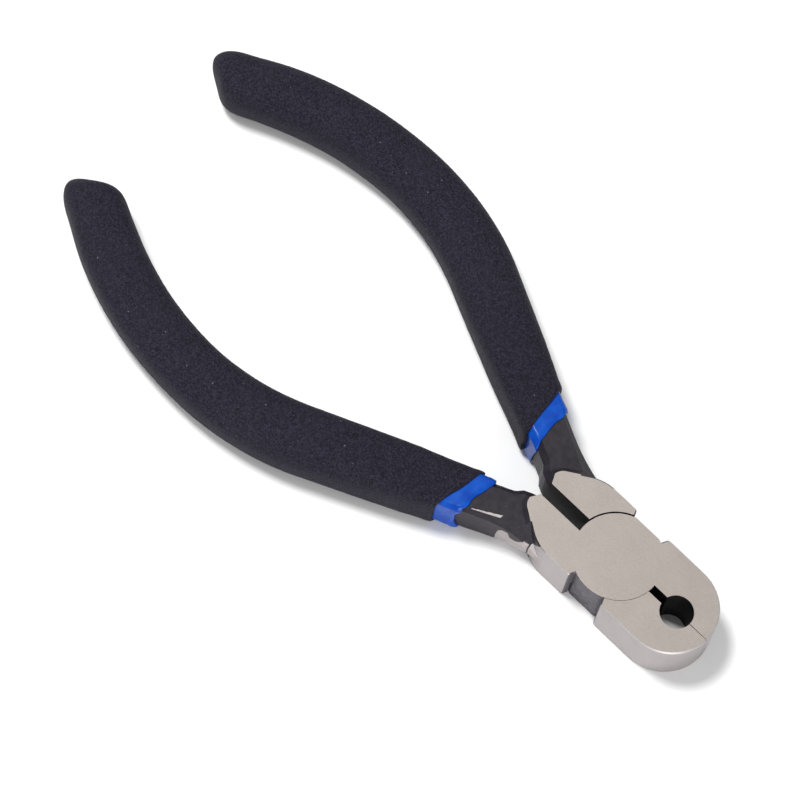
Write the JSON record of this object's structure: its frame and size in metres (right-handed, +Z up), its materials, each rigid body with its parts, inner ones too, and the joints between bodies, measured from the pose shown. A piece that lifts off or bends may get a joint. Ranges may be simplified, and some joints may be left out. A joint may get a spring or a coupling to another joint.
{
  "type": "mini lap-joint cutter",
  "caption": "Small hand cutter with a flush lap joint, round-nosed jaws that meet on a short seam with a round hole, and curved dipped grips.",
  "frame": {"origin": "the point where the pivot axis meets the flat lower face that the tool lies on", "axes": "+X along the tool towards the jaws' tip, +Y to the left seen from above, +Z up out of the surface, along the pivot"},
  "size_m": [0.114, 0.055, 0.008],
  "materials": {
    "ground_steel": "satin ground faces; black enamel on the bars behind the head",
    "blue_coat": "glossy dipped coat",
    "black_grip": "matt, finely grained dipped coat"
  },
  "bodies": {
    "right_half": {"right_lever": "ground_steel", "pivot_rivet": "ground_steel", "right_grip_liner": "blue_coat", "right_grip": "black_grip"},
    "left_half": {"left_lever": "ground_steel", "left_grip_liner": "blue_coat", "left_grip": "black_grip"}
  },
  "joints": [
    {"name": "jaw_pivot", "type": "hinge", "parent": "right_half", "child": "left_half", "pos_m": [0, 0, 0.004], "axis": [0, 0, -1], "range_deg": [0, 44]}
  ]
}
